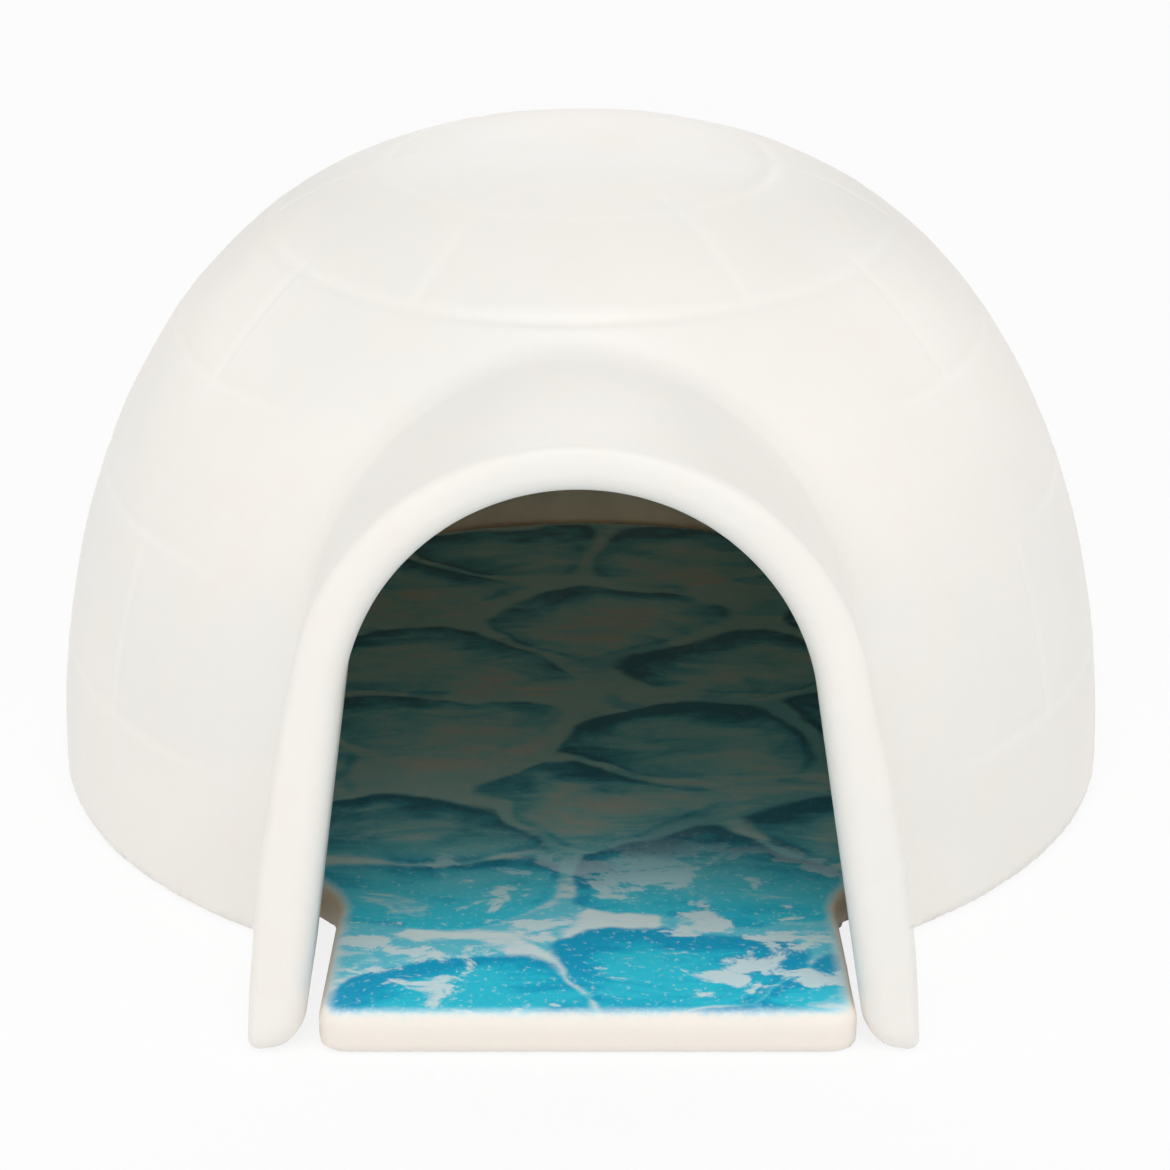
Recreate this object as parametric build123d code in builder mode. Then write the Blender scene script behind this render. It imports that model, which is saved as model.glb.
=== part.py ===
"""Rodent igloo: a cast ceramic dome with an arched porch, standing over a loose floor plate.

Millimetres, +Z up. The origin is on the table under the middle of the dome, and the porch opens
towards -Y. Two pieces: the hollow shell, and the keyhole-shaped plate that lies inside it.
"""
from build123d import *
import math
import os

# Dome
dome_radius = 80.0        # outside, at the table
dome_height = 96.0        # outside, table to crown
wall = 6.5                # thickness of the casting
shoulder_power = 2.67     # 2 is an ellipse seen from the side, and more is squarer
outline_spans = 9         # spline spans from the table to the crown

# Porch
porch_reach = 98.5        # from the dome's axis to the front of the feet
porch_lean = 8.0          # degrees that the front leans back
roof_crown = 81.5         # outside height of the porch
roof_radius = 38.5        # outside radius of its round top
roof_flare = 8.7          # degrees that the outside of each leg opens towards the table
door_crown = 74.9         # inside height of the porch
door_radius = 30.9        # inside radius of its round top
door_flare = 8.3          # degrees that the inside of each leg opens towards the table

# Rounding of the shell
neck_round = 4.5          # hollow round where the porch runs into the dome
lip_round = 2.9           # both edges of the doorway's rim
foot_round = 1.4          # every edge that stands on the table
throat_round = 4.0        # inside edge between the porch and the dome

# Scored block joints, with bearings in degrees from the doorway
bed_heights = [22.0, 48.5, 70.0, 84.3, 92.5]
blocks_round_dome = 6
bed_tool_radius = 1.6     # section of the tool that scored the level joints
bed_score_depth = 0.9
head_tool_radius = 1.3    # section of the tool that scored the climbing joints
head_score_depth = 0.7
porch_bearing = 41.0      # joints below the porch roof stay this far from the doorway's middle

# Floor plate
plate_thickness = 6.2
plate_radius = 71.8       # round part, inside the dome
tongue_width = 71.4       # across the front of the tongue
tongue_waist = 69.0       # across the tongue where it leaves the round part
tongue_reach = 98.2       # from the dome's axis to the tongue's front edge
plate_shift = 0.9         # the plate lies this far to the right in the doorway
plate_neck_round = 5.0    # hollow rounds between the tongue and the round part
plate_corner_round = 3.5  # front corners, seen from above
plate_edge_round = 2.0    # top edge
plate_foot_round = 1.2    # bottom edge


def dome_section(radius, height):
    """Half section of a solid dome, to turn about Z."""
    points = []
    for span in range(outline_spans):
        angle = math.radians(90 * span / outline_spans)
        points.append((radius * math.cos(angle) ** (2 / shoulder_power), height * math.sin(angle)))
    points.append((0, height))
    with BuildSketch(Plane.XZ) as section:
        with BuildLine():
            Spline(*points, tangents=[(0, 1), (-1, 0)])
            Polyline((0, height), (0, 0), (radius, 0))
        make_face()
    return section.sketch


def in_front(edge):
    """Whether an edge lies on the doorway's side of the dome's axis."""
    return edge.center().Y < 0


def above_table(edge):
    """Whether an edge lies above the surface that the shell stands on."""
    return edge.center().Z > foot_round


def at_tongue_root(corner):
    """Whether a corner of the plate's outline lies where the tongue leaves the round part."""
    return abs(corner.Y - tongue_root_y) < plate_corner_round


def arch_section(radius, crown, flare):
    """Round-topped arch whose straight legs open towards the table."""
    lean = math.radians(flare)
    spring_x = radius * math.cos(lean)
    spring_z = crown - radius + radius * math.sin(lean)
    foot_x = spring_x + spring_z * math.tan(lean)
    with BuildSketch(Plane.XZ) as section:
        with BuildLine():
            Polyline((-spring_x, spring_z), (-foot_x, 0), (foot_x, 0), (spring_x, spring_z))
            ThreePointArc((spring_x, spring_z), (0, crown), (-spring_x, spring_z))
        make_face()
    return section.sketch


def meridian(bearing):
    """Upright plane through the dome's axis, with local X outwards at this bearing."""
    angle = math.radians(bearing)
    return Plane(origin=(0, 0, 0), x_dir=(math.sin(angle), -math.cos(angle), 0),
                 z_dir=(-math.cos(angle), -math.sin(angle), 0))


def tool_place(height, standoff):
    """Distance from the axis, and height, of a tool's middle held off the dome at this level."""
    angle = math.asin(height / dome_height)
    across = dome_radius * math.cos(angle) ** (2 / shoulder_power)
    rise = dome_height * math.cos(angle)
    inward = across * (2 / shoulder_power) * math.tan(angle)
    share = standoff / math.hypot(rise, inward)
    return across + share * rise, height + share * inward


def score_end(across, level, bearing):
    """Round end of a level joint."""
    angle = math.radians(bearing)
    with Locations((across * math.sin(angle), -across * math.cos(angle), level)):
        Sphere(bed_tool_radius, mode=Mode.SUBTRACT)


def score_bed_joint(height, gap):
    """Level joint round the dome, left out for gap degrees each side of the doorway."""
    across, level = tool_place(height, bed_tool_radius - bed_score_depth)
    with BuildSketch(meridian(gap)) as tool:
        with Locations((across, level)):
            Circle(bed_tool_radius)
    revolve(tool.sketch, axis=Axis.Z, revolution_arc=360 - 2 * gap, mode=Mode.SUBTRACT)
    if gap > 0:
        score_end(across, level, gap)
        score_end(across, level, -gap)


def score_head_joint(low, high, bearing):
    """Joint that climbs the dome from one level to the next."""
    standoff = head_tool_radius - head_score_depth
    stations = [tool_place(level, standoff) for level in (low, (low + high) / 2, high)]
    with BuildLine(meridian(bearing)) as climb:
        ThreePointArc(*stations)
    with BuildSketch(Plane(origin=climb.line @ 0, z_dir=climb.line % 0)) as tool:
        Circle(head_tool_radius)
    sweep(tool.sketch, path=climb.line, mode=Mode.SUBTRACT)


os.makedirs("parts", exist_ok=True)

porch_front = Plane(origin=(0, -porch_reach, 0), x_dir=(1, 0, 0),
                    z_dir=(0, -math.cos(math.radians(porch_lean)), math.sin(math.radians(porch_lean))))

# Room inside the dome and its porch
with BuildPart() as hollow:
    revolve(dome_section(dome_radius - wall, dome_height - wall), axis=Axis.Z)
    extrude(arch_section(door_radius, door_crown, door_flare), amount=porch_reach + wall)
    throat = hollow.edges().filter_by(GeomType.BSPLINE).filter_by(in_front)
    fillet(throat, radius=throat_round)

# Shell: dome and porch in one casting
with BuildPart() as igloo_shell:
    revolve(dome_section(dome_radius, dome_height), axis=Axis.Z)
    extrude(arch_section(roof_radius, roof_crown, roof_flare), amount=porch_reach + wall)
    split(bisect_by=porch_front, keep=Keep.BOTTOM)
    neck = igloo_shell.edges().filter_by(GeomType.BSPLINE).filter_by(in_front)
    fillet(neck, radius=neck_round)
    add(hollow.part, mode=Mode.SUBTRACT)
    rim = igloo_shell.faces().filter_by(porch_front).edges()
    fillet(rim.filter_by(above_table), radius=lip_round)
    fillet(igloo_shell.faces().filter_by(Plane.XY).edges(), radius=foot_round)

    course_levels = [0.0] + bed_heights
    half_block = 180 / blocks_round_dome
    for course, (low, high) in enumerate(zip(course_levels, bed_heights)):
        below_roof = high < roof_crown
        score_bed_joint(high, porch_bearing if below_roof else 0)
        first = half_block if course % 2 == 0 else 0
        for block in range(blocks_round_dome):
            bearing = first + 2 * half_block * block
            off_door = abs((bearing + 180) % 360 - 180)
            if off_door > porch_bearing or low > roof_crown:
                score_head_joint(low, high, bearing)
igloo_shell.part.label = "igloo_shell"
export_step(igloo_shell.part, "parts/igloo_shell.step")

# Floor plate: round part under the dome and a tongue that fills the doorway
tongue_root_y = -math.sqrt(plate_radius ** 2 - (tongue_waist / 2) ** 2)
tongue_side = [(tongue_waist / 2, 0), (tongue_waist / 2, tongue_root_y), (tongue_width / 2, -tongue_reach)]
tongue_far_side = [(-across, along) for across, along in reversed(tongue_side)]
with BuildPart() as floor_plate:
    with BuildSketch(Plane.XY.move(Location((plate_shift, 0, 0)))) as keyhole:
        Circle(plate_radius)
        with BuildLine():
            Polyline(*tongue_side, *tongue_far_side, close=True)
        make_face()
        fillet(keyhole.vertices().sort_by(Axis.Y)[:2], radius=plate_corner_round)
        fillet(keyhole.vertices().filter_by(at_tongue_root), radius=plate_neck_round)
    extrude(amount=plate_thickness)
    fillet(floor_plate.faces().sort_by(Axis.Z)[-1].edges(), radius=plate_edge_round)
    fillet(floor_plate.faces().sort_by(Axis.Z)[0].edges(), radius=plate_foot_round)
floor_plate.part.label = "floor_plate"
export_step(floor_plate.part, "parts/floor_plate.step")
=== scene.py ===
"""Rodent igloo: the finish of a cast ceramic shell and its painted floor plate."""
import math

import bmesh
import bpy
import numpy as np
from bpy.props import FloatProperty, FloatVectorProperty, IntProperty, PointerProperty
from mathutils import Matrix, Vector


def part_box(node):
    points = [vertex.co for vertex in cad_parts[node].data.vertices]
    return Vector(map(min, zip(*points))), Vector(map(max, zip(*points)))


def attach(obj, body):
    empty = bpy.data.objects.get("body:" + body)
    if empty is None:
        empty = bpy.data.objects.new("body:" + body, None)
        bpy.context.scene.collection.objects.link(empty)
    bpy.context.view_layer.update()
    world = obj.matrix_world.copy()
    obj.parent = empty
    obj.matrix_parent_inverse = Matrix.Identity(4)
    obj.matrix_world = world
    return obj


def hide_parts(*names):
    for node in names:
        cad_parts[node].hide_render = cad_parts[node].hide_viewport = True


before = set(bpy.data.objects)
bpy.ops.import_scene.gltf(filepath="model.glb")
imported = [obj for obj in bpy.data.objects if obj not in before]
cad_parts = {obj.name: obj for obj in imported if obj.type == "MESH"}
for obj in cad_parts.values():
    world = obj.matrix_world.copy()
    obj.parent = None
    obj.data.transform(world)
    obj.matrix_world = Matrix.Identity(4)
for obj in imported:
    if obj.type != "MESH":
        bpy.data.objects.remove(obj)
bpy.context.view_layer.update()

bl_info = {
    "name": "Ceramic rodent igloo",
    "version": (1, 0, 0),
    "blender": (4, 5, 0),
    "location": "View3D > Sidebar > Igloo",
    "description": "Glazed igloo shell with scored block joints, and a floor plate painted with paving",
    "category": "Object",
}

SHELL_LOW, SHELL_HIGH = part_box("igloo_shell")
PLATE_LOW, PLATE_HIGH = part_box("floor_plate")
MM = 0.001


# Settings

def length(name, description, default):
    """Property for a size in metres."""
    return FloatProperty(name=name, description=description, default=default, unit="LENGTH",
                         subtype="DISTANCE")


def degrees(name, description, default):
    """Property for an angle, given in degrees."""
    return FloatProperty(name=name, description=description, default=math.radians(default), subtype="ANGLE")


def share(name, description, default):
    """Property for a share from 0 to 1."""
    return FloatProperty(name=name, description=description, default=default, min=0, max=1,
                         subtype="FACTOR")


def paint(name, description, red, green, blue):
    """Property for a colour, given as it looks on screen, from 0 to 255."""
    screen = [value / 255 for value in (red, green, blue)]
    linear = [value / 12.92 if value <= 0.04045 else ((value + 0.055) / 1.055) ** 2.4 for value in screen]
    return FloatVectorProperty(name=name, description=description, default=linear, min=0, max=1, size=3,
                               subtype="COLOR")


class ShellSettings(bpy.types.PropertyGroup):
    """Sizes of the cast shell."""
    dome_radius: length("Dome radius", "Outside, at the table", SHELL_HIGH[0])
    dome_height: length("Dome height", "Outside, from the table to the crown", SHELL_HIGH[2])
    wall: length("Wall", "Thickness of the casting", 6.5 * MM)
    shoulder: FloatProperty(name="Shoulder", description="2 is an ellipse from the side, more is squarer",
                            default=2.67)
    porch_reach: length("Porch reach", "From the dome's axis to the front of the feet", 98.5 * MM)
    porch_lean: degrees("Porch lean", "How far the front leans back", 8)
    roof_crown: length("Roof crown", "Outside height of the porch", 82.3 * MM)
    roof_radius: length("Roof radius", "Outside radius of the porch's round top", 38.5 * MM)
    roof_flare: degrees("Roof flare", "How far the outside of each leg opens downwards", 11.3)
    roof_fall: degrees("Roof fall", "How far the porch narrows and drops towards the dome", 2.2)
    leg_spread: length("Leg spread", "Outside of each leg at the table, from the porch's middle", 44.9 * MM)
    leg_bend: length("Leg bend", "How softly the legs turn upright, where 0 is a corner", 4.4 * MM)
    door_crown: length("Door crown", "Inside height of the porch", 75.15 * MM)
    door_radius: length("Door radius", "Inside radius of the porch's round top", 30.9 * MM)
    door_flare: degrees("Door flare", "How far the inside of each leg opens downwards", 7.9)
    porch_skew: length("Porch skew", "How far left of its feet the porch's crown stands", 0.9 * MM)
    neck_round: length("Neck round", "Hollow round between porch and dome", 1.7 * MM)
    throat_round: length("Throat round", "The same, inside", 4 * MM)
    lip_round: length("Lip round", "Outer edge of the doorway's rim", 1.4 * MM)
    lip_inner_round: length("Inner lip round", "Inner edge of the doorway's rim", 3.6 * MM)
    foot_round: length("Foot round", "Every edge of the dome that stands on the table", 1.4 * MM)
    toe_round: length("Toe round", "Outer edge of the foot of each leg", 2.2 * MM)
    toe_inner_round: length("Inner toe round", "Inner edge of the foot of each leg", 4.9 * MM)
    toe_start: length("Toe start", "The feet get rounder from here on, in front of the axis", 72 * MM)
    toe_fade: length("Toe fade", "Stretch over which they get rounder", 14 * MM)
    waviness: length("Waviness", "How far the hand-finished surface dips", 0.45 * MM)
    mesh_step: length("Mesh step", "Size of a face away from the scored joints", 1.52 * MM)


class JointSettings(bpy.types.PropertyGroup):
    """Scored block joints of the dome."""
    depth: length("Depth", "Deepest point of a joint", 0.5 * MM)
    width: length("Width", "Across a joint, half way down", 1.5 * MM)
    burr: length("Burr", "Rise of the clay beside a joint", 0.08 * MM)
    blocks: IntProperty(name="Blocks", description="Blocks in a course round the dome", default=6)
    porch_bearing: degrees("Porch bearing", "The low joints stay this far from the doorway's middle", 40)
    fading: degrees("Fading", "Stretch over which the low joints fade out towards the porch", 12)
    wander: length("Wander", "How far a hand-scored joint strays", 0.5 * MM)
    level_depth: share("Level depth", "Of the level joints, against the deepest point", 0.9)
    cap_depth: share("Cap depth", "The same for the highest level joint", 0.5)
    climb_depth: share("Climbing depth", "The same for the shallowest climbing joint", 0.7)
    faintest: share("Faintest", "What is left of a joint where the glaze filled it most", 0.3)


class PlateSettings(bpy.types.PropertyGroup):
    """Sizes of the floor plate."""
    thickness: length("Thickness", "From the table to the painted top", PLATE_HIGH[2])
    radius: length("Radius", "Round part, inside the dome", (PLATE_HIGH[0] - PLATE_LOW[0]) / 2)
    shift: length("Shift", "How far right of the doorway's middle it lies",
                  (PLATE_HIGH[0] + PLATE_LOW[0]) / 2)
    tongue_reach: length("Tongue reach", "From the dome's axis to the front edge", -PLATE_LOW[1])
    tongue_width: length("Tongue width", "Across the front of the tongue", 71.4 * MM)
    tongue_waist: length("Tongue waist", "Across the tongue where it leaves the round part", 69 * MM)
    neck_round: length("Neck round", "Hollow rounds beside the tongue", 5 * MM)
    corner_round: length("Corner round", "Front corners, seen from above", 3.5 * MM)
    edge_round: length("Edge round", "Top edge", 2 * MM)
    foot_round: length("Foot round", "Bottom edge", 1.2 * MM)
    waviness: length("Waviness", "How far the hand-smoothed top dips", 0.12 * MM)
    mesh_step: length("Mesh step", "Size of a face", 1.2 * MM)


class PavingSettings(bpy.types.PropertyGroup):
    """Painted paving on the floor plate."""
    stone_length: length("Stone length", "Middle length of a stone, across the doorway", 37 * MM)
    stone_depth: length("Stone depth", "Middle length of a stone, front to back", 25 * MM)
    stone_round: length("Stone round", "A stone's corners are cut this far from its middle", 18.5 * MM)
    gap: length("Gap", "Mortar between stones", 2 * MM)
    bare_rim: length("Bare rim", "Strip along the edge that the paint leaves bare", 1 * MM)
    # Painted shade and light: over this stretch the paint changes from the den's darker copy to the porch's
    # lit colours
    lit_porch_start: length("Porch start", "The porch's colours begin here, in front of the axis", 40 * MM)
    lit_porch_full: length("Porch full", "Past here no colour of the den is left", 76 * MM)
    turquoise: paint("Turquoise", "Stones of the porch", 48, 208, 234)
    deep: paint("Deep turquoise", "Far edges of the porch's stones", 26, 190, 224)
    ink: paint("Ink", "Darkest strokes of the porch", 16, 168, 212)
    wash: paint("Wash", "Watery patches of the porch", 226, 244, 248)
    # Painted shade: the den's colours, heart and mortar are darker, greyer copies of the porch's paint,
    # standing for the shade inside the dome; pale stone centres are the paving's own pattern
    shaded_den_stone: paint("Den stone", "Stones inside the den", 104, 180, 188)
    shaded_den_deep: paint("Deep den stone", "Far edges of the den's stones", 58, 150, 168)
    shaded_den_ink: paint("Den ink", "Darkest strokes inside the den", 30, 112, 134)
    shaded_den_wash: paint("Den wash", "Watery patches inside the den", 150, 196, 194)
    heart: paint("Heart", "Clay that shows through the middle of a stone", 186, 194, 186)
    mortar: paint("Mortar", "Gaps between the stones", 164, 198, 194)


class FinishSettings(bpy.types.PropertyGroup):
    """Glaze and bare clay."""
    glaze: paint("Glaze", "Most of the outside", 247, 243, 237)
    thin_glaze: paint("Thin glaze", "Patches and edges where clay warms the glaze", 247, 240, 230)
    cool_glaze: paint("Cool glaze", "Thicker patches", 243, 241, 236)
    clay: paint("Clay", "Unglazed inside and soles", 230, 215, 188)
    slip: paint("Slip", "Pale edge of the floor plate", 249, 241, 231)
    # Painted highlight: a lighter colour laid along the scored joints
    pool: paint("Pool", "Glaze that pooled in the scored joints", 252, 249, 243)
    clay_shade: share("Clay shade", "Brightness of the clay's darker patches", 0.86)
    bare_sides: share("Bare sides", "How bare the plate's sides are inside the dome", 0.7)


class StageSettings(bpy.types.PropertyGroup):
    """Table, lamps and camera."""
    camera_distance: length("Camera distance", "From the point aimed at", 556.4 * MM)
    camera_height: length("Aim height", "Height of the point aimed at", 25 * MM)
    camera_elevation: degrees("Elevation", "Of the camera above the table", 23.5)
    camera_lens: FloatProperty(name="Lens", description="In millimetres, for a 36 mm frame", default=111.12)
    camera_shift: FloatProperty(name="Shift", description="Sideways shift of the frame", default=0.0034)
    table_reach: length("Table reach", "From the dome's axis to each edge of the table", 3000 * MM)
    table_glow: share("Table glow", "How far the table shows as pure white", 0.84)
    sky: share("Sky", "Light from all round", 0.355)
    top: share("Top lamp", "Light on a white surface that faces it", 0.29)
    pair: share("Front pair", "The same for each of the two in front", 0.1)
    wide: share("Wide pair", "The same for each of the two further out", 0.065)
    low: share("Low lamp", "The same for the one that reaches into the den", 0.08)
    side: share("Side pair", "The same for each of the two at the sides", 0.05)
    back: share("Back lamps", "The same for each of the three behind", 0.14)


# Level joints, as shares of the dome's height from the table up
BED_LEVELS = (0.229, 0.505, 0.729, 0.878, 0.969)

SETTINGS = {
    "igloo_shell_sizes": ShellSettings,
    "igloo_joints": JointSettings,
    "igloo_plate_sizes": PlateSettings,
    "igloo_paving": PavingSettings,
    "igloo_finish": FinishSettings,
    "igloo_stage": StageSettings,
}


# Shapes as distances in millimetres, negative inside

def round_union(first, second, radius):
    """Union of two shapes with a hollow round where they meet."""
    near = np.hypot(np.maximum(radius - first, 0), np.maximum(radius - second, 0))
    return np.maximum(radius, np.minimum(first, second)) - near


def round_common(first, second, radius):
    """What two shapes share, with its edge rounded."""
    over = np.hypot(np.maximum(radius + first, 0), np.maximum(radius + second, 0))
    return np.minimum(-radius, np.maximum(first, second)) + over


def soft_maximum(first, second, width):
    """The larger of two, with a smooth change from one to the other over this difference between them."""
    near = np.maximum(width - np.abs(first - second), 0) / width
    return np.maximum(first, second) + near ** 2 * width / 4


def dome_distance(points, radius, height, shoulder):
    """Distance to a solid dome, true near its surface."""
    least_slope = 0.2 / radius
    across = np.hypot(points[:, 0], points[:, 1])
    level = np.maximum(points[:, 2], 0)
    excess = (across / radius) ** shoulder + (level / height) ** 2 - 1
    slope = np.hypot(shoulder * (across / radius) ** (shoulder - 1) / radius, 2 * level / height ** 2)
    return excess / np.maximum(slope, least_slope)


def arch_section(points, radius, crown, flare, spread=math.inf, bend=1.0):
    """Distance to a round-topped arch, seen from the front. Its legs open by flare, and turn upright as they
    reach this spread."""
    across = np.abs(points[:, 0])
    rise = points[:, 2] - (crown - radius)
    top = np.hypot(across, rise) - radius
    leg = across * math.cos(flare) + rise * math.sin(flare) - radius
    leg = soft_maximum(leg, across - spread, bend)
    return np.where(rise > across * math.tan(flare), top, leg)


def waves(points, wavelength, count, seed):
    """Smooth noise from 0 to 1 made of plane waves, some shorter than the wavelength and some longer."""
    shortest, longest = 0.7, 1.5
    highest = 1.6 * math.sqrt(count)
    dice = np.random.default_rng(seed)
    total = np.zeros(len(points))
    for _ in range(count):
        direction = dice.normal(size=3)
        direction /= np.linalg.norm(direction)
        turns = 2 * math.pi / (wavelength * dice.uniform(shortest, longest))
        total += np.sin(points @ (direction * turns) + dice.uniform(0, 2 * math.pi))
    return 0.5 + 0.5 * np.clip(total / highest, -1, 1)


class ShellForm:
    """The cast shell as a distance in millimetres."""

    def __init__(self, sizes, joints):
        self.dome_radius = sizes.dome_radius / MM
        self.dome_height = sizes.dome_height / MM
        self.wall = sizes.wall / MM
        self.shoulder = sizes.shoulder
        self.porch_reach = sizes.porch_reach / MM
        self.porch_lean = sizes.porch_lean
        self.porch_skew = sizes.porch_skew / sizes.roof_crown
        self.roof = (sizes.roof_radius / MM, sizes.roof_crown / MM, sizes.roof_flare, sizes.leg_spread / MM,
                     sizes.leg_bend / MM)
        self.roof_fall = math.tan(sizes.roof_fall)
        self.door = (sizes.door_radius / MM, sizes.door_crown / MM, sizes.door_flare)
        self.neck_round = sizes.neck_round / MM
        self.throat_round = sizes.throat_round / MM
        self.lip_round = sizes.lip_round / MM
        self.lip_inner_round = sizes.lip_inner_round / MM
        self.foot_round = sizes.foot_round / MM
        self.toe_round = sizes.toe_round / MM
        self.toe_inner_round = sizes.toe_inner_round / MM
        self.toe_start = sizes.toe_start / MM
        self.toe_fade = sizes.toe_fade / MM
        self.waviness = sizes.waviness / MM
        self.joints = joints
        self.bed_heights = [self.dome_height * level for level in BED_LEVELS]

    def upright(self, points):
        """The points as if the porch stood upright."""
        middle = self.roof[1] / 2
        return points + np.outer(points[:, 2] - middle, (self.porch_skew, 0, 0))

    def dome(self, points):
        """The dome alone, solid."""
        return dome_distance(points, self.dome_radius, self.dome_height, self.shoulder)

    def roof_shape(self, points):
        """The porch without its doorway, running back to the dome's middle."""
        section = arch_section(self.upright(points), *self.roof)
        return np.maximum(section + self.roof_fall * (points[:, 1] + self.porch_reach), points[:, 1])

    def outside(self, points):
        """Dome and porch as one solid."""
        return round_union(self.dome(points), self.roof_shape(points), self.neck_round)

    def hollow(self, points):
        """The room inside the dome and the porch."""
        dome = dome_distance(points, self.dome_radius - self.wall, self.dome_height - self.wall,
                             self.shoulder)
        door = arch_section(self.upright(points), *self.door)
        return round_union(dome, np.maximum(door, points[:, 1]), self.throat_round)

    def each_joint(self, points):
        """For each scored joint, the distance to it along the outside, and its depth there from 0 to 1."""
        wander = self.joints.wander / MM
        drift = np.stack([waves(points, wavelength=30, count=5, seed=seed) for seed in (11, 12, 13)], 1)
        strayed = points + wander * (drift - 0.5)
        across = np.hypot(strayed[:, 0], strayed[:, 1])
        level = strayed[:, 2]
        bearing = np.arctan2(strayed[:, 0], -strayed[:, 1])
        faintest = self.joints.faintest
        fade = faintest + (1 - faintest) * waves(points, wavelength=38, count=7, seed=21)
        porch = self.joints.porch_bearing
        into_porch = np.clip((np.abs(bearing) - porch) / self.joints.fading, 0, 1)
        dice = np.random.default_rng(5)
        half_block = math.pi / self.joints.blocks
        low = 0.0
        for course, high in enumerate(self.bed_heights):
            ring = self.dome_radius * (1 - (high / self.dome_height) ** 2) ** (1 / self.shoulder)
            strength = self.joints.cap_depth if high == self.bed_heights[-1] else self.joints.level_depth
            if high < self.roof[1]:
                strength = strength * into_porch
            yield np.hypot(across - ring, level - high), strength * fade
            first = half_block if course % 2 == 0 else 0
            for block in range(self.joints.blocks):
                place = first + 2 * half_block * block
                off_door = abs((place + math.pi) % (2 * math.pi) - math.pi)
                if off_door > porch or low > self.roof[1]:
                    turn = (bearing - place + math.pi) % (2 * math.pi) - math.pi
                    past_end = np.maximum(0, np.maximum(low - level, level - high))
                    yield np.hypot(turn * across, past_end), fade * dice.uniform(self.joints.climb_depth, 1)
            low = high

    def scored(self, points, outside):
        """Depth that the joints cut into the outside, and nothing away from it."""
        skin = 2
        depth = self.joints.depth / MM
        width = self.joints.width / MM / (2 * math.sqrt(math.log(2)))
        burr = self.joints.burr / MM
        cut = np.zeros(len(points))
        rise = np.zeros(len(points))
        for distance, strength in self.each_joint(points):
            cut = np.maximum(cut, depth * strength * np.exp(-(distance / width) ** 2))
            rise = np.maximum(rise, burr * strength * np.exp(-((distance - 2 * width) / width) ** 2))
        return (cut - rise) * np.exp(-(outside / skin) ** 2)

    def dips(self, points):
        """Depth of the hand-finished surface's broad and short waves."""
        broad = waves(points, wavelength=46, count=9, seed=1)
        short = waves(points, wavelength=14, count=9, seed=2)
        return self.waviness * (0.6 * broad + 0.4 * short)

    def distance(self, points, plain=False):
        """The whole shell, without its waves and joints where plain is set."""
        outside = self.outside(points)
        if not plain:
            outside = outside + self.dips(points) + self.scored(points, outside)
        inside = -self.hollow(points)
        body = round_common(outside, self.front(points), self.lip_round)
        body = round_common(body, inside, self.lip_inner_round)
        # The feet of the legs are rounder than the dome's, and most so on their inner side
        inner_side = np.clip(0.5 + 0.5 * (inside - outside) / self.wall, 0, 1)
        toe = self.toe_round + (self.toe_inner_round - self.toe_round) * inner_side
        on_leg = np.clip((-self.toe_start - points[:, 1]) / self.toe_fade, 0, 1)
        return round_common(body, -points[:, 2], self.foot_round + (toe - self.foot_round) * on_leg)

    def front(self, points):
        """Distance in front of the doorway's leaning plane."""
        return (points[:, 2] * math.sin(self.porch_lean)
                - (points[:, 1] + self.porch_reach) * math.cos(self.porch_lean))

    def needs_detail(self, points):
        """Whether a place lies at a scored joint, at the neck or on the doorway's rim."""
        joint_reach = 3.2
        skin = 1.5
        neck_reach = 4
        rim_depth = 5
        nearest = np.full(len(points), np.inf)
        for distance, _ in self.each_joint(points):
            nearest = np.minimum(nearest, distance)
        dome, roof = self.dome(points), self.roof_shape(points)
        at_joint = (nearest < joint_reach) & (np.abs(self.outside(points)) < skin)
        at_neck = (np.hypot(dome, roof) < neck_reach) & (points[:, 1] < 0)
        return at_joint | at_neck | (self.front(points) > -rim_depth)


class PlateForm:
    """The floor plate as a distance in millimetres."""

    def __init__(self, sizes):
        self.thickness = sizes.thickness / MM
        self.radius = sizes.radius / MM
        self.shift = sizes.shift / MM
        self.reach = sizes.tongue_reach / MM
        self.half_front = sizes.tongue_width / MM / 2
        self.half_waist = sizes.tongue_waist / MM / 2
        self.neck_round = sizes.neck_round / MM
        self.corner_round = sizes.corner_round / MM
        self.edge_round = sizes.edge_round / MM
        self.foot_round = sizes.foot_round / MM
        self.waviness = sizes.waviness / MM

    def outline(self, points):
        """Distance to the plate's outline, seen from above."""
        across = points[:, 0] - self.shift
        disc = np.hypot(across, points[:, 1]) - self.radius
        neck = math.sqrt(self.radius ** 2 - self.half_waist ** 2)
        along = np.clip((-points[:, 1] - neck) / (self.reach - neck), 0, 1)
        side = np.abs(across) - (self.half_waist + (self.half_front - self.half_waist) * along)
        tongue = round_common(side, -self.reach - points[:, 1], self.corner_round)
        return round_union(disc, np.maximum(tongue, points[:, 1]), self.neck_round)

    def distance(self, points, plain=False):
        """The whole plate, with a level top where plain is set."""
        top = points[:, 2] - self.thickness
        if not plain:
            top = top + self.waviness * waves(points, wavelength=24, count=9, seed=3)
        body = round_common(self.outline(points), top, self.edge_round)
        return round_common(body, -points[:, 2], self.foot_round)


# Meshes

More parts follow.
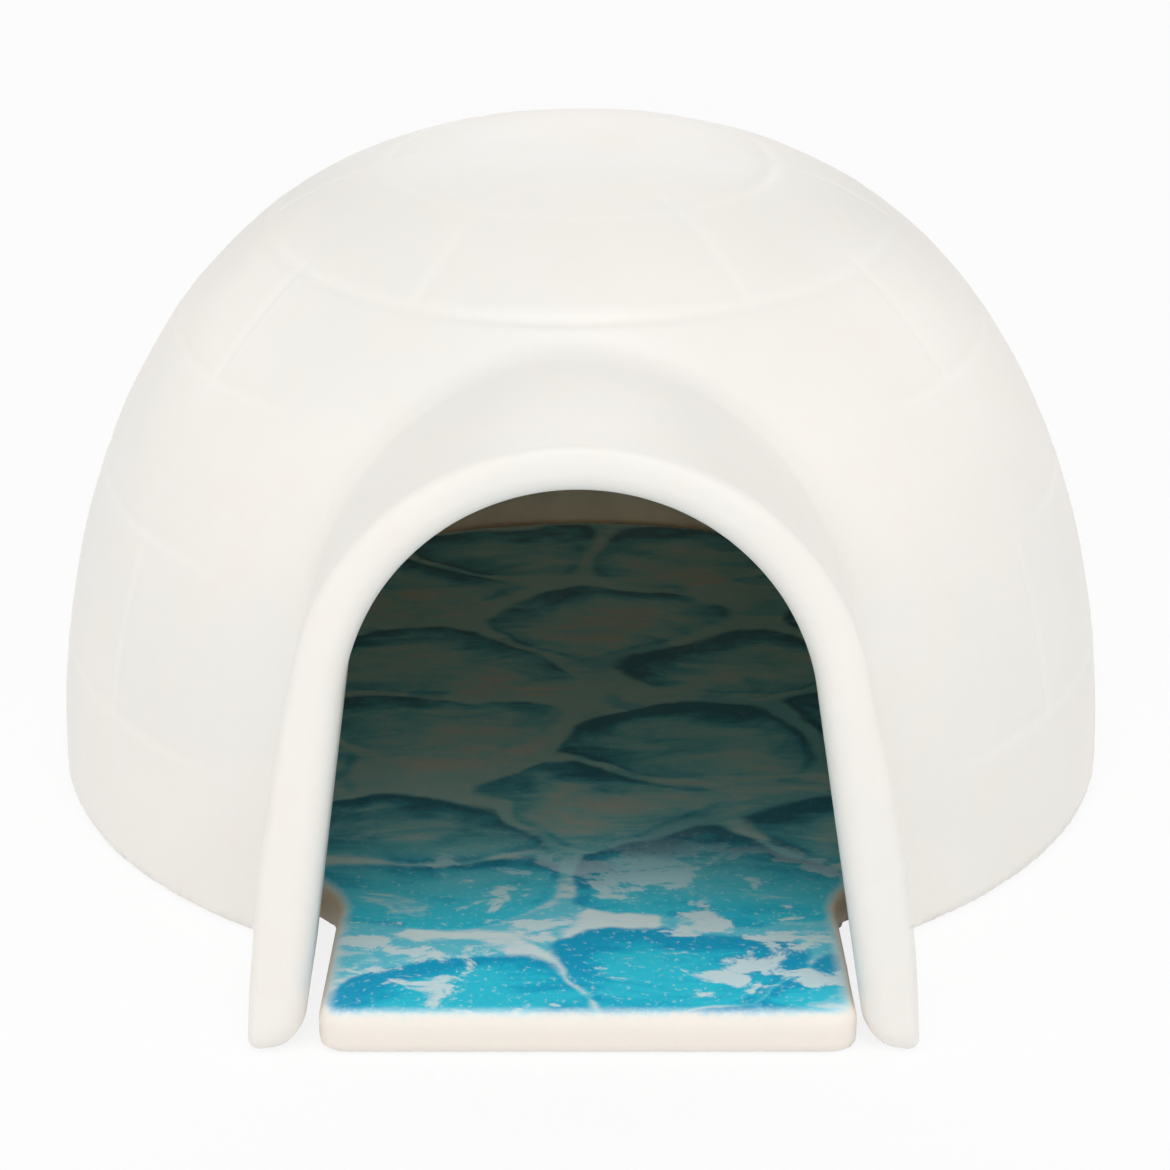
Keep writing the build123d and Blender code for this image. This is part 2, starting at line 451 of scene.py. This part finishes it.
def remeshed_copy(node, name, step):
    """Even quads over a CAD node, as a new object."""
    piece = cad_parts[node].copy()
    piece.data = piece.data.copy()
    piece.name = name
    bpy.context.scene.collection.objects.link(piece)
    remesh = piece.modifiers.new("even", "REMESH")
    remesh.mode = "VOXEL"
    remesh.voxel_size = step
    evaluated = piece.evaluated_get(bpy.context.evaluated_depsgraph_get())
    mesh = bpy.data.meshes.new_from_object(evaluated)
    piece.modifiers.clear()
    piece.data = mesh
    mesh.name = name
    mesh.materials.clear()
    return piece


def read_points(mesh):
    """The mesh's vertices in millimetres."""
    flat = np.empty(len(mesh.vertices) * 3)
    mesh.vertices.foreach_get("co", flat)
    return flat.reshape(-1, 3) / MM


def write_points(mesh, points):
    """Puts vertices given in millimetres back into the mesh."""
    mesh.vertices.foreach_set("co", (points * MM).ravel())
    mesh.update()


def settled(points, distance, rounds=6):
    """The points moved onto the surface where distance is nothing."""
    reach = 0.05
    gentlest = 0.5
    for _ in range(rounds):
        value = distance(points)
        slope = np.empty_like(points)
        for axis in range(3):
            aside = np.zeros(3)
            aside[axis] = reach
            slope[:, axis] = (distance(points + aside) - distance(points - aside)) / (2 * reach)
        size = np.maximum((slope ** 2).sum(1), gentlest ** 2)
        points = points - slope * np.clip(value / size, -1, 1)[:, None]
    return points


def relaxed(mesh, points, distance, rounds):
    """Evens out the vertices along the surface, and settles them on it again after each round."""
    edges = np.empty(len(mesh.edges) * 2, dtype=np.int64)
    mesh.edges.foreach_get("vertices", edges)
    start, end = edges.reshape(-1, 2).T
    count = np.bincount(start, minlength=len(points)) + np.bincount(end, minlength=len(points))
    for _ in range(rounds):
        middle = np.stack([np.bincount(start, points[end, axis], len(points))
                           + np.bincount(end, points[start, axis], len(points)) for axis in range(3)], 1)
        points = points + 0.5 * (middle / count[:, None] - points)
        points = settled(points, distance, rounds=1)
    return points


def refine(mesh, chosen):
    """Halves the edges that chosen picks, from their middles in millimetres."""
    shape = bmesh.new()
    shape.from_mesh(mesh)
    middles = np.array([(edge.verts[0].co + edge.verts[1].co) / 2 for edge in shape.edges]) / MM
    picked = [edge for edge, pick in zip(list(shape.edges), chosen(middles)) if pick]
    bmesh.ops.subdivide_edges(shape, edges=picked, cuts=1, use_grid_fill=True)
    bmesh.ops.triangulate(shape, faces=[face for face in shape.faces if len(face.verts) > 4])
    shape.to_mesh(mesh)
    shape.free()


def attribute(mesh, name, values):
    """Stores one number for each vertex, for the material to read."""
    layer = mesh.attributes.new(name, "FLOAT", "POINT")
    layer.data.foreach_set("value", values.astype(np.float32))


def make_shell_mesh(piece, form):
    """Settles the remeshed shell on its form, finer along the scored joints."""
    mesh = piece.data

    def plain(points):
        return form.distance(points, plain=True)

    points = relaxed(mesh, settled(read_points(mesh), plain), plain, rounds=4)
    write_points(mesh, points)
    refine(mesh, form.needs_detail)
    points = relaxed(mesh, read_points(mesh), plain, rounds=3)
    points = settled(points, form.distance, rounds=4)
    points = np.clip(points, np.array(SHELL_LOW) / MM, np.array(SHELL_HIGH) / MM)
    write_points(mesh, points)

    # The glaze of the porch ends in a wavy border, and the soles are wiped clean
    skin = 1.5
    glaze_end, border_wave, border_fade = 76, 8, 9
    sole_height, sole_inset = 0.1, 1
    outside, hollow = form.outside(points), form.hollow(points)
    inside = np.clip(1 - np.abs(hollow) / skin, 0, 1)
    border = glaze_end + border_wave * waves(points, wavelength=20, count=7, seed=31)
    in_dome = np.clip((points[:, 1] + border) / border_fade, 0, 1)
    sole = ((points[:, 2] < sole_height) * np.clip(-sole_inset - outside, 0, 1)
            * np.clip(hollow - sole_inset, 0, 1))
    attribute(mesh, "bare_clay", np.maximum(inside * in_dome, sole))
    attribute(mesh, "scored", form.scored(points, outside) / (form.joints.depth / MM))
    mesh.shade_smooth()


def make_plate_mesh(piece, form):
    """Settles the remeshed plate on its form."""
    clay_fade = 8
    paint_depth, paint_fade = 1.4, 0.8
    mesh = piece.data

    def plain(points):
        return form.distance(points, plain=True)

    points = relaxed(mesh, settled(read_points(mesh), plain), plain, rounds=4)
    points = settled(points, form.distance, rounds=3)
    points = np.clip(points, np.array(PLATE_LOW) / MM, np.array(PLATE_HIGH) / MM)
    write_points(mesh, points)
    attribute(mesh, "inset", -form.outline(points))
    attribute(mesh, "bare_clay", np.clip((points[:, 1] + form.radius) / clay_fade, 0, 1))
    attribute(mesh, "top", np.clip((points[:, 2] - form.thickness + paint_depth) / paint_fade, 0, 1))
    mesh.shade_smooth()


# Materials

class Nodes:
    """Adds nodes to one material and joins them up."""

    def __init__(self, name):
        self.material = bpy.data.materials.new(name)
        self.material.use_nodes = True
        self.tree = self.material.node_tree
        self.tree.nodes.clear()

    def join(self, value, socket):
        """Links a socket, or sets a plain value."""
        if isinstance(value, bpy.types.NodeSocket):
            self.tree.links.new(value, socket)
        else:
            socket.default_value = value

    def add(self, kind, **settings):
        """New node with these settings."""
        node = self.tree.nodes.new(kind)
        for name, value in settings.items():
            setattr(node, name, value)
        return node

    def attribute(self, name):
        """Number that the mesh stores under this name."""
        return self.add("ShaderNodeAttribute", attribute_name=name).outputs["Fac"]

    def math(self, operation, *values, clamp=False):
        """One step of arithmetic on numbers."""
        node = self.add("ShaderNodeMath", operation=operation, use_clamp=clamp)
        for value, socket in zip(values, node.inputs):
            self.join(value, socket)
        return node.outputs[0]

    def vector(self, operation, *values):
        """One step of arithmetic on vectors."""
        node = self.add("ShaderNodeVectorMath", operation=operation)
        for value, socket in zip(values, node.inputs):
            self.join(value, socket)
        return node.outputs["Value" if operation == "LENGTH" else "Vector"]

    def parts(self, vector):
        """The three numbers of a vector."""
        node = self.add("ShaderNodeSeparateXYZ")
        self.join(vector, node.inputs[0])
        return node.outputs[0], node.outputs[1], node.outputs[2]

    def millimetres(self):
        """Place on the piece, in millimetres."""
        place = self.add("ShaderNodeTexCoord").outputs["Object"]
        return self.vector("MULTIPLY", place, (1 / MM, 1 / MM, 1 / MM))

    def noise(self, place, size, detail=2.0, roughness=0.5, distortion=0.0, stretch=(1, 1, 1),
              colour=False):
        """Noise whose features are about size millimetres across."""
        node = self.add("ShaderNodeTexNoise")
        scaled = self.vector("MULTIPLY", place, tuple(factor / size for factor in stretch))
        self.join(scaled, node.inputs["Vector"])
        node.inputs["Scale"].default_value = 1.0
        node.inputs["Detail"].default_value = detail
        node.inputs["Roughness"].default_value = roughness
        node.inputs["Distortion"].default_value = distortion
        return node.outputs["Color" if colour else "Fac"]

    def cells(self, place, feature):
        """Flat cells one unit across."""
        node = self.add("ShaderNodeTexVoronoi", voronoi_dimensions="2D", feature=feature)
        self.join(place, node.inputs["Vector"])
        node.inputs["Scale"].default_value = 1.0
        node.inputs["Randomness"].default_value = 0.8
        return node

    def ramp(self, value, colours):
        """Colour that runs evenly through the given ones as value goes from 0 to 1."""
        node = self.add("ShaderNodeValToRGB")
        self.join(value, node.inputs["Fac"])
        elements = node.color_ramp.elements
        for place in range(1, len(colours) - 1):
            elements.new(place / (len(colours) - 1))
        for element, colour in zip(elements, colours):
            element.color = rgba(colour)
        return node.outputs["Color"]

    def step(self, value, low, high):
        """0 below low, 1 above high, smooth between. Low may be the larger."""
        node = self.add("ShaderNodeMapRange", interpolation_type="SMOOTHSTEP")
        self.join(value, node.inputs["Value"])
        ends = (low, high, 0.0, 1.0) if low < high else (high, low, 1.0, 0.0)
        for end, name in zip(ends, ("From Min", "From Max", "To Min", "To Max")):
            node.inputs[name].default_value = end
        return node.outputs["Result"]

    def blend(self, amount, first, second):
        """Colour that goes from first to second as amount goes from 0 to 1."""
        node = self.add("ShaderNodeMix", data_type="RGBA")
        for value, socket in ((amount, node.inputs[0]), (first, node.inputs[6]), (second, node.inputs[7])):
            self.join(value, socket)
        return node.outputs[2]

    def between(self, amount, first, second):
        """Number that goes from first to second as amount goes from 0 to 1."""
        node = self.add("ShaderNodeMix", data_type="FLOAT")
        for value, socket in ((amount, node.inputs[0]), (first, node.inputs[2]), (second, node.inputs[3])):
            self.join(value, socket)
        return node.outputs[0]

    def bump(self, height, size):
        """Surface relief, with height from 0 to 1 standing for size in metres."""
        node = self.add("ShaderNodeBump")
        node.inputs["Distance"].default_value = size
        self.join(height, node.inputs["Height"])
        return node.outputs[0]

    def ceramic(self, colour, roughness, normal, coat, coat_roughness):
        """Finishes the material with a ceramic surface."""
        shader = self.add("ShaderNodeBsdfPrincipled")
        self.join(colour, shader.inputs["Base Color"])
        self.join(roughness, shader.inputs["Roughness"])
        self.join(normal, shader.inputs["Normal"])
        shader.inputs["IOR"].default_value = 1.5
        shader.inputs["Coat Weight"].default_value = coat
        shader.inputs["Coat Roughness"].default_value = coat_roughness
        output = self.add("ShaderNodeOutputMaterial")
        self.tree.links.new(shader.outputs[0], output.inputs["Surface"])
        return self.material


def rgba(colour):
    """The colour as a node socket takes it."""
    return (*colour, 1.0)


def make_shell_material(finish):
    """Off-white satin glaze with a painted highlight along the scored joints, and bare clay inside."""
    nodes = Nodes("shell_glaze")
    place = nodes.millimetres()
    cloud = nodes.noise(place, 42, detail=3.0)
    patch = nodes.noise(place, 11, detail=4.0, roughness=0.6)
    grain = nodes.noise(place, 0.9, detail=3.0, roughness=0.6)
    colour = nodes.blend(nodes.step(cloud, 0.38, 0.66), rgba(finish.glaze), rgba(finish.cool_glaze))
    warm = nodes.math("MULTIPLY", nodes.step(patch, 0.42, 0.78), 0.4)
    colour = nodes.blend(warm, colour, rgba(finish.thin_glaze))
    # Painted highlight: the scored joints are coloured lighter than the glaze around them
    painted_joint_highlight = nodes.math("MULTIPLY", nodes.attribute("scored"), 0.7, clamp=True)
    colour = nodes.blend(painted_joint_highlight, colour, rgba(finish.pool))

    ragged = nodes.math("MULTIPLY", nodes.math("SUBTRACT", patch, 0.5), 0.5)
    bare = nodes.step(nodes.math("ADD", nodes.attribute("bare_clay"), ragged), 0.42, 0.58)
    clay = nodes.blend(nodes.step(patch, 0.35, 0.7), rgba(finish.clay),
                       rgba([channel * finish.clay_shade for channel in finish.clay]))
    colour = nodes.blend(bare, colour, clay)

    roughness = nodes.between(bare, nodes.between(patch, 0.42, 0.6), 0.9)
    ripple = nodes.noise(place, 6.5, detail=2.0)
    worked = nodes.math("MULTIPLY", nodes.noise(place, 3.6, detail=2.0, distortion=0.6),
                        nodes.step(cloud, 0.42, 0.6))
    relief = nodes.math("ADD", ripple, nodes.math("MULTIPLY", grain, 0.14))
    relief = nodes.math("ADD", relief, nodes.math("MULTIPLY", worked, 0.8))
    return nodes.ceramic(colour, roughness, nodes.bump(relief, 0.11 * MM), coat=0.12, coat_roughness=0.35)


def paving_stones(nodes, place, paving):
    """For the nearest painted stone: distance in millimetres to its edge, negative inside; place within it
    from about -1 to 1, across and towards the back; and a random number."""
    half = (0.5, 0.5, 0.5)
    corner = 6.0
    bent = place
    for size, pull in ((40, 20), (15, 8), (5, 2.4)):
        noise = nodes.noise(place, size, detail=1.0, colour=True)
        bend = nodes.vector("MULTIPLY", nodes.vector("SUBTRACT", noise, half), (pull, pull * 0.8, 0))
        bent = nodes.vector("ADD", bent, bend)
    long, deep = paving.stone_length / MM, paving.stone_depth / MM
    spread = nodes.vector("MULTIPLY", bent, (1 / long, 1 / deep, 0))
    nearest = nodes.cells(spread, "F1")
    next_nearest = nodes.cells(spread, "F2")
    inset = nodes.math("SUBTRACT", next_nearest.outputs["Distance"], nearest.outputs["Distance"])
    middling = (long + deep) / 2
    inset = nodes.math("MULTIPLY", inset, middling / 2)
    edge = nodes.math("SUBTRACT", paving.gap / MM / 2, inset)
    from_middle = nodes.vector("SUBTRACT", spread, nearest.outputs["Position"])
    reach = nodes.math("MULTIPLY", nodes.vector("LENGTH", from_middle), middling)
    past_round = nodes.math("SUBTRACT", reach, paving.stone_round / MM)
    edge = nodes.math("SMOOTH_MAX", edge, past_round, corner)
    across, back, _ = nodes.parts(from_middle)
    dice, _, _ = nodes.parts(nearest.outputs["Color"])
    return edge, nodes.math("MULTIPLY", across, 2.0), nodes.math("MULTIPLY", back, 2.0), dice


def make_plate_material(finish, paving):
    """Watery turquoise paving under a satin glaze, with a bare rim and pale sides."""
    nodes = Nodes("plate_glaze")
    place = nodes.millimetres()
    edge, across, back, dice = paving_stones(nodes, place, paving)
    streak = nodes.noise(place, 9, detail=4.0, roughness=0.6, distortion=0.8, stretch=(0.55, 1.2, 1))
    bloom = nodes.noise(place, 17, detail=3.0, roughness=0.55, distortion=0.6, stretch=(0.7, 1.1, 1))
    brush = nodes.noise(place, 2.4, detail=3.0, roughness=0.6, distortion=0.6, stretch=(0.4, 1.2, 1))
    curdle = nodes.noise(place, 6.5, detail=6.0, roughness=0.66, distortion=0.5, stretch=(0.8, 1.2, 1))
    fleck = nodes.noise(place, 1.0, detail=3.0, roughness=0.65)
    # porch goes from 0 in the den to 1 on the porch; besides the porch's own curds and flecks, it swaps the
    # painted shade of the den for the porch's lit colours
    _, front_to_back, _ = nodes.parts(place)
    porch = nodes.step(front_to_back, -paving.lit_porch_start / MM, -paving.lit_porch_full / MM)

    def swing(value, reach):
        """The noise as a swing about nothing."""
        return nodes.math("MULTIPLY", nodes.math("SUBTRACT", value, 0.5), reach)

    def total(*values):
        """Sum of all the values."""
        result = values[0]
        for value in values[1:]:
            result = nodes.math("ADD", result, value)
        return result

    # Load of paint: heaviest in a stroke along the far and left edges, and thin in the heart
    heavy = total(nodes.math("MULTIPLY", back, 0.5), nodes.math("MULTIPLY", across, -0.22), 0.5)
    rim = nodes.step(total(edge, swing(streak, 6.0)), -8.0, -1.0)
    line = nodes.math("MULTIPLY", nodes.step(total(edge, swing(curdle, 2.0)), -1.9, -0.7),
                      nodes.step(bloom, 0.46, 0.56))
    load = total(0.12, nodes.math("MULTIPLY", heavy, 0.25), nodes.math("MULTIPLY", porch, 0.2),
                 swing(streak, 1.3), swing(bloom, 0.8), swing(brush, 0.4), swing(dice, 0.25),
                 nodes.math("MULTIPLY", rim, nodes.math("ADD", nodes.math("MULTIPLY", heavy, 0.5), 0.12)),
                 nodes.math("MULTIPLY", line, 0.3))
    # Painted shade: inside the den the paint takes its darker, greyer copy
    shaded_den_colour = nodes.ramp(load, (paving.heart, paving.shaded_den_wash, paving.shaded_den_stone, paving.shaded_den_deep,
                               paving.shaded_den_ink))
    lit_porch_colour = nodes.ramp(load, (paving.wash, paving.turquoise, paving.turquoise, paving.deep,
                                 paving.ink))
    colour = nodes.blend(porch, shaded_den_colour, lit_porch_colour)

    # Mortar, painted over here and there, and mostly so on the porch
    gap = nodes.step(total(edge, swing(curdle, 1.8), nodes.math("MULTIPLY", porch, -0.7)), -0.6, 0.7)
    # Painted shade: the den's mortar is greyer than the porch's white gaps
    mortar = nodes.blend(nodes.step(streak, 0.42, 0.62), rgba(paving.mortar), rgba(paving.shaded_den_wash))
    mortar = nodes.blend(porch, mortar, rgba(paving.wash))
    over = nodes.step(total(bloom, nodes.math("MULTIPLY", porch, 0.08), swing(brush, 0.15)), 0.51, 0.58)
    # Painted shade: paint over the den's gaps uses the darker den copy
    thin_paint = nodes.blend(porch, rgba(paving.shaded_den_stone), rgba(paving.turquoise))
    mortar = nodes.blend(nodes.math("MULTIPLY", over, 0.85), mortar, thin_paint)
    colour = nodes.blend(gap, colour, mortar)

    # White curds and flecks where the paint of the porch broke up
    curd = nodes.step(total(curdle, swing(bloom, 1.1)), 0.55, 0.64)
    colour = nodes.blend(nodes.math("MULTIPLY", curd, nodes.math("MULTIPLY", porch, 0.9)), colour,
                         rgba(paving.wash))
    flecks = nodes.math("MULTIPLY", nodes.step(fleck, 0.56, 0.7), nodes.between(porch, 0.12, 0.4))
    colour = nodes.blend(flecks, colour, rgba(paving.wash))

    # Bare edges, where the paint ends in a ragged fade
    ragged = total(nodes.attribute("inset"), swing(curdle, 1.6), swing(fleck, 1.2))
    bare_rim = paving.bare_rim / MM
    faded = nodes.math("MULTIPLY", nodes.step(ragged, bare_rim + 1.6, bare_rim - 0.4), 0.75)
    colour = nodes.blend(faded, colour, rgba(paving.wash))
    painted = nodes.math("MULTIPLY", nodes.step(ragged, bare_rim - 0.8, bare_rim + 0.5),
                         nodes.attribute("top"))
    body = nodes.blend(nodes.step(bloom, 0.4, 0.65), rgba(finish.slip), rgba(finish.thin_glaze))
    body = nodes.blend(nodes.math("MULTIPLY", nodes.attribute("bare_clay"), finish.bare_sides), body,
                       rgba(finish.clay))
    colour = nodes.blend(painted, body, colour)

    roughness = nodes.between(painted, nodes.between(curdle, 0.5, 0.65), nodes.between(streak, 0.34, 0.5))
    relief = total(nodes.math("MULTIPLY", curdle, 0.5), nodes.math("MULTIPLY", fleck, 0.25),
                   nodes.math("MULTIPLY", load, 0.3))
    return nodes.ceramic(colour, roughness, nodes.bump(relief, 0.1 * MM), coat=0.1, coat_roughness=0.3)


# Stage

def make_table_material(white_share):
    """White paper that shows as white, and keeps the object's shadow."""
    greyest, whitest = (0.93, 0.93, 0.93), (0.95, 0.95, 0.95)
    nodes = Nodes("white_paper")
    grain = nodes.noise(nodes.millimetres(), 1.5, detail=3.0)
    paper = nodes.add("ShaderNodeBsdfDiffuse")
    nodes.join(nodes.blend(grain, rgba(greyest), rgba(whitest)), paper.inputs["Color"])
    glow = nodes.add("ShaderNodeEmission")
    seen = nodes.add("ShaderNodeLightPath")
    direct = nodes.math("MAXIMUM", seen.outputs["Is Camera Ray"], seen.outputs["Is Glossy Ray"])
    mixed = nodes.add("ShaderNodeMixShader")
    nodes.join(nodes.math("MULTIPLY", direct, white_share), mixed.inputs[0])
    nodes.join(paper.outputs[0], mixed.inputs[1])
    nodes.join(glow.outputs[0], mixed.inputs[2])
    output = nodes.add("ShaderNodeOutputMaterial")
    nodes.join(mixed.outputs[0], output.inputs["Surface"])
    return nodes.material


def make_world(strength):
    """Even white light, and a white background."""
    world = bpy.data.worlds.new("studio")
    world.use_nodes = True
    tree = world.node_tree
    tree.nodes.clear()
    seen = tree.nodes.new("ShaderNodeLightPath")
    direct = tree.nodes.new("ShaderNodeMath")
    direct.operation = "MAXIMUM"
    tree.links.new(seen.outputs["Is Camera Ray"], direct.inputs[0])
    tree.links.new(seen.outputs["Is Transmission Ray"], direct.inputs[1])
    level = tree.nodes.new("ShaderNodeMix")
    level.inputs[2].default_value = strength
    level.inputs[3].default_value = 1.0
    tree.links.new(direct.outputs[0], level.inputs[0])
    background = tree.nodes.new("ShaderNodeBackground")
    background.inputs["Color"].default_value = (1, 1, 1, 1)
    tree.links.new(level.outputs[0], background.inputs["Strength"])
    output = tree.nodes.new("ShaderNodeOutputWorld")
    tree.links.new(background.outputs[0], output.inputs["Surface"])
    bpy.context.scene.world = world


def add_lamp(name, level, size, bearing, elevation):
    """Square soft lamp a metre from the dome. Bearings are in degrees from the doorway, to the right, and a
    white surface that faces the lamp looks as bright as level says."""
    lamp = bpy.data.lights.new(name, "AREA")
    lamp.energy = level * math.pi ** 2
    lamp.shape = "SQUARE"
    lamp.size = size
    holder = bpy.data.objects.new(name, lamp)
    bpy.context.scene.collection.objects.link(holder)
    turn, rise = math.radians(bearing), math.radians(elevation)
    way = Vector((math.sin(turn) * math.cos(rise), -math.cos(turn) * math.cos(rise), math.sin(rise)))
    holder.location = way + Vector((0, 0, SHELL_HIGH[2] / 2))
    holder.rotation_euler = way.to_track_quat("Z", "Y").to_euler()


# Operators

class IGLOO_OT_shell(bpy.types.Operator):
    """Casts and glazes the shell"""
    bl_idname = "igloo.shell"
    bl_label = "Shell"

    def execute(self, context):
        scene = context.scene
        form = ShellForm(scene.igloo_shell_sizes, scene.igloo_joints)
        piece = remeshed_copy("igloo_shell", "glazed_shell", scene.igloo_shell_sizes.mesh_step)
        make_shell_mesh(piece, form)
        piece.data.materials.append(make_shell_material(scene.igloo_finish))
        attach(piece, "shell")
        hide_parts("igloo_shell")
        return {"FINISHED"}


class IGLOO_OT_floor_plate(bpy.types.Operator):
    """Shapes and paints the floor plate"""
    bl_idname = "igloo.floor_plate"
    bl_label = "Floor plate"

    def execute(self, context):
        scene = context.scene
        piece = remeshed_copy("floor_plate", "painted_plate", scene.igloo_plate_sizes.mesh_step)
        make_plate_mesh(piece, PlateForm(scene.igloo_plate_sizes))
        piece.data.materials.append(make_plate_material(scene.igloo_finish, scene.igloo_paving))
        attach(piece, "plate")
        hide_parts("floor_plate")
        return {"FINISHED"}


class IGLOO_OT_stage(bpy.types.Operator):
    """Sets the table, the lamps and the camera"""
    bl_idname = "igloo.stage"
    bl_label = "Stage"

    def execute(self, context):
        scene = context.scene
        stage = scene.igloo_stage
        mesh = bpy.data.meshes.new("table")
        reach = stage.table_reach
        corners = [(-reach, -reach, 0), (reach, -reach, 0), (reach, reach, 0), (-reach, reach, 0)]
        mesh.from_pydata(corners, [], [(0, 1, 2, 3)])
        table = bpy.data.objects.new("table", mesh)
        scene.collection.objects.link(table)
        mesh.materials.append(make_table_material(stage.table_glow))
        make_world(stage.sky)
        add_lamp("top_lamp", stage.top, size=0.5, bearing=0, elevation=70)
        add_lamp("low_lamp", stage.low, size=0.4, bearing=0, elevation=14)
        for bearing in (-35, 35):
            add_lamp("front_lamp", stage.pair, size=0.5, bearing=bearing, elevation=33)
        for bearing in (-60, 60):
            add_lamp("wide_lamp", stage.wide, size=0.5, bearing=bearing, elevation=30)
        for bearing in (-75, 75):
            add_lamp("side_lamp", stage.side, size=0.6, bearing=bearing, elevation=10)
        for bearing in (-125, 125, 180):
            add_lamp("back_lamp", stage.back, size=0.6, bearing=bearing, elevation=21)

        lens = bpy.data.cameras.new("camera")
        lens.lens = stage.camera_lens
        lens.sensor_width = 36.0
        lens.shift_x = stage.camera_shift
        lens.clip_start, lens.clip_end = 0.02, 20.0
        camera = bpy.data.objects.new("camera", lens)
        scene.collection.objects.link(camera)
        aim = Vector((0, 0, stage.camera_height))
        back = Vector((0, -math.cos(stage.camera_elevation), math.sin(stage.camera_elevation)))
        camera.location = aim + back * stage.camera_distance
        camera.rotation_euler = (-back).to_track_quat("-Z", "Y").to_euler()
        scene.camera = camera
        scene.view_settings.view_transform = "Standard"
        return {"FINISHED"}


class IGLOO_PT_panel(bpy.types.Panel):
    """Lists the pieces of the igloo"""
    bl_idname = "IGLOO_PT_panel"
    bl_label = "Igloo"
    bl_space_type = "VIEW_3D"
    bl_region_type = "UI"
    bl_category = "Igloo"

    def draw(self, context):
        for operator in (IGLOO_OT_stage, IGLOO_OT_shell, IGLOO_OT_floor_plate):
            self.layout.operator(operator.bl_idname)


CLASSES = (*SETTINGS.values(), IGLOO_OT_stage, IGLOO_OT_shell, IGLOO_OT_floor_plate, IGLOO_PT_panel)


def register():
    for item in CLASSES:
        bpy.utils.register_class(item)
    for name, group in SETTINGS.items():
        setattr(bpy.types.Scene, name, PointerProperty(type=group))


def unregister():
    for name in SETTINGS:
        delattr(bpy.types.Scene, name)
    for item in reversed(CLASSES):
        bpy.utils.unregister_class(item)


def main():
    register()
    bpy.ops.igloo.stage()
    bpy.ops.igloo.shell()
    bpy.ops.igloo.floor_plate()


if __name__ == "__main__":
    main()
